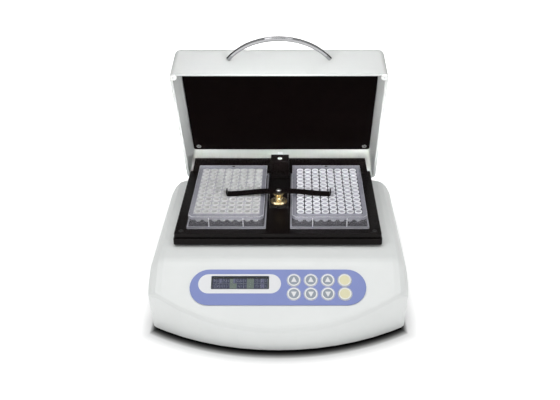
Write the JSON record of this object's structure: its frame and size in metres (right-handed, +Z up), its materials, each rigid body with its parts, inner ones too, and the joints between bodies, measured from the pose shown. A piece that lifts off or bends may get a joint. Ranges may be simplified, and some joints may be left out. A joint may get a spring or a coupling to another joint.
{
  "type": "microplate shaking incubator",
  "caption": "Bench incubator with a heated orbiting platform for flat well plates, a swivel clamp bar, a keypad on a sloped front and a hinged lid with a bow handle, shown open.",
  "frame": {"origin": "middle of the footprint, lid open, on the surface it stands on", "axes": "+X to the right seen from the front, +Y to the back, +Z up"},
  "size_m": [0.273, 0.2996, 0.2812],
  "materials": {
    "painted_housing": "light grey, satin",
    "bright_steel": "bright steel",
    "zinc_sheet": "zinc-plated sheet",
    "turned_alloy": "turned",
    "carrier_alloy": "plain sheet",
    "chrome": "polished",
    "brass": "bright",
    "black_rubber": "matt",
    "black_anodised": "black anodised, glossy",
    "black_panel": "black anodised, satin",
    "insulation_foam": "thin foam pad",
    "heater_mat": "silicone heating mat",
    "blue_overlay": "printed film over moulded plate",
    "display_window": "clear",
    "display_module": "liquid crystal",
    "circuit_board": "fibreglass board",
    "grey_key": "moulded",
    "yellow_key": "moulded",
    "black_plastic": "moulded",
    "clear_plastic": "clear polystyrene"
  },
  "bodies": {
    "base": {"base_housing": "painted_housing", "bottom_plate": "zinc_sheet", "foot_front_left": "black_rubber", "foot_front_right": "black_rubber", "foot_rear_left": "black_rubber", "foot_rear_right": "black_rubber", "keypad_overlay": "blue_overlay", "display_window": "display_window", "display_module": "display_module", "control_board": "circuit_board", "drive_chassis": "zinc_sheet", "main_bearing": "bright_steel", "idler_bearing_left": "bright_steel", "idler_bearing_right": "bright_steel", "motor": "bright_steel", "drive_belt": "black_rubber", "dc_inlet": "black_plastic", "switch_frame": "black_plastic", "hinge_bracket_left": "bright_steel", "hinge_bracket_right": "bright_steel", "hinge_pin_left": "bright_steel", "hinge_pin_right": "bright_steel"},
    "crank": {"crank_shaft": "bright_steel", "drive_pulley": "turned_alloy", "counterweight": "brass"},
    "idler_left": {"idler_crank_left": "bright_steel"},
    "idler_right": {"idler_crank_right": "bright_steel"},
    "motor_rotor": {"motor_pulley": "turned_alloy"},
    "platform": {"carrier_plate": "carrier_alloy", "pin_bearing_main": "bright_steel", "pin_bearing_left": "bright_steel", "pin_bearing_right": "bright_steel", "platform_tray": "black_anodised", "heater_mat": "heater_mat", "platform_plate": "black_anodised", "rear_fence": "black_anodised", "centre_tower": "black_anodised", "clamp_stirrup": "bright_steel", "clamp_spool": "brass", "clamp_screw": "bright_steel", "microplate_left": "clear_plastic", "microplate_right": "clear_plastic"},
    "clamp": {"clamp_bar": "black_anodised"},
    "lid": {"lid_shell": "painted_housing", "lid_insulation": "insulation_foam", "lid_heater_panel": "black_panel", "lid_handle": "chrome", "lid_bumper_left": "black_rubber", "lid_bumper_right": "black_rubber", "hinge_leaf_left": "bright_steel", "hinge_leaf_right": "bright_steel"},
    "rocker": {"switch_rocker": "black_plastic"},
    "button_top_1": {"button_top_1": "grey_key"},
    "button_top_2": {"button_top_2": "grey_key"},
    "button_top_3": {"button_top_3": "grey_key"},
    "button_top_4": {"button_top_4": "yellow_key"},
    "button_bottom_1": {"button_bottom_1": "grey_key"},
    "button_bottom_2": {"button_bottom_2": "grey_key"},
    "button_bottom_3": {"button_bottom_3": "grey_key"},
    "button_bottom_4": {"button_bottom_4": "yellow_key"}
  },
  "joints": [
    {"name": "platform_orbit", "type": "hinge", "parent": "crank", "child": "platform", "pos_m": [-0.001, -0.00476, 0.065], "axis": [0, 0, 1], "continuous": true},
    {"name": "crank_spin", "type": "hinge", "parent": "base", "child": "crank", "pos_m": [0, -0.00476, 0.04], "axis": [0, 0, 1], "continuous": true},
    {"name": "idler_left_spin", "type": "hinge", "parent": "base", "child": "idler_left", "pos_m": [-0.075, 0.05524, 0.05], "axis": [0, 0, 1], "continuous": true},
    {"name": "idler_right_spin", "type": "hinge", "parent": "base", "child": "idler_right", "pos_m": [0.075, 0.05524, 0.05], "axis": [0, 0, 1], "continuous": true},
    {"name": "motor_spin", "type": "hinge", "parent": "base", "child": "motor_rotor", "pos_m": [0, 0.06724, 0.035], "axis": [0, 0, 1], "continuous": true},
    {"name": "lid_hinge", "type": "hinge", "parent": "base", "child": "lid", "pos_m": [0, 0.10524, 0.076], "axis": [1, 0, 0], "range_deg": [0, 65.5]},
    {"name": "clamp_swivel", "type": "hinge", "parent": "platform", "child": "clamp", "pos_m": [-0.001, 0.00424, 0.115], "axis": [0, 0, 1], "range_deg": [0, 90]},
    {"name": "power_rocker", "type": "hinge", "parent": "base", "child": "rocker", "pos_m": [-0.04, 0.11244, 0.034], "axis": [1, 0, 0], "range_deg": [0, 16]},
    {"name": "press_top_1", "type": "slide", "parent": "base", "child": "button_top_1", "axis": [0, 0.515, -0.8572], "range_m": [0, 0.0008], "stiffness_N_per_m": 800},
    {"name": "press_top_2", "type": "slide", "parent": "base", "child": "button_top_2", "axis": [0, 0.515, -0.8572], "range_m": [0, 0.0008], "stiffness_N_per_m": 800},
    {"name": "press_top_3", "type": "slide", "parent": "base", "child": "button_top_3", "axis": [0, 0.515, -0.8572], "range_m": [0, 0.0008], "stiffness_N_per_m": 800},
    {"name": "press_top_4", "type": "slide", "parent": "base", "child": "button_top_4", "axis": [0, 0.515, -0.8572], "range_m": [0, 0.0008], "stiffness_N_per_m": 800},
    {"name": "press_bottom_1", "type": "slide", "parent": "base", "child": "button_bottom_1", "axis": [0, 0.515, -0.8572], "range_m": [0, 0.0008], "stiffness_N_per_m": 800},
    {"name": "press_bottom_2", "type": "slide", "parent": "base", "child": "button_bottom_2", "axis": [0, 0.515, -0.8572], "range_m": [0, 0.0008], "stiffness_N_per_m": 800},
    {"name": "press_bottom_3", "type": "slide", "parent": "base", "child": "button_bottom_3", "axis": [0, 0.515, -0.8572], "range_m": [0, 0.0008], "stiffness_N_per_m": 800},
    {"name": "press_bottom_4", "type": "slide", "parent": "base", "child": "button_bottom_4", "axis": [0, 0.515, -0.8572], "range_m": [0, 0.0008], "stiffness_N_per_m": 800}
  ],
  "couplings": [
    {"joint": "crank_spin", "follows": "platform_orbit", "ratio": -1},
    {"joint": "idler_left_spin", "follows": "platform_orbit", "ratio": -1},
    {"joint": "idler_right_spin", "follows": "platform_orbit", "ratio": -1},
    {"joint": "motor_spin", "follows": "platform_orbit", "ratio": -2.7}
  ]
}
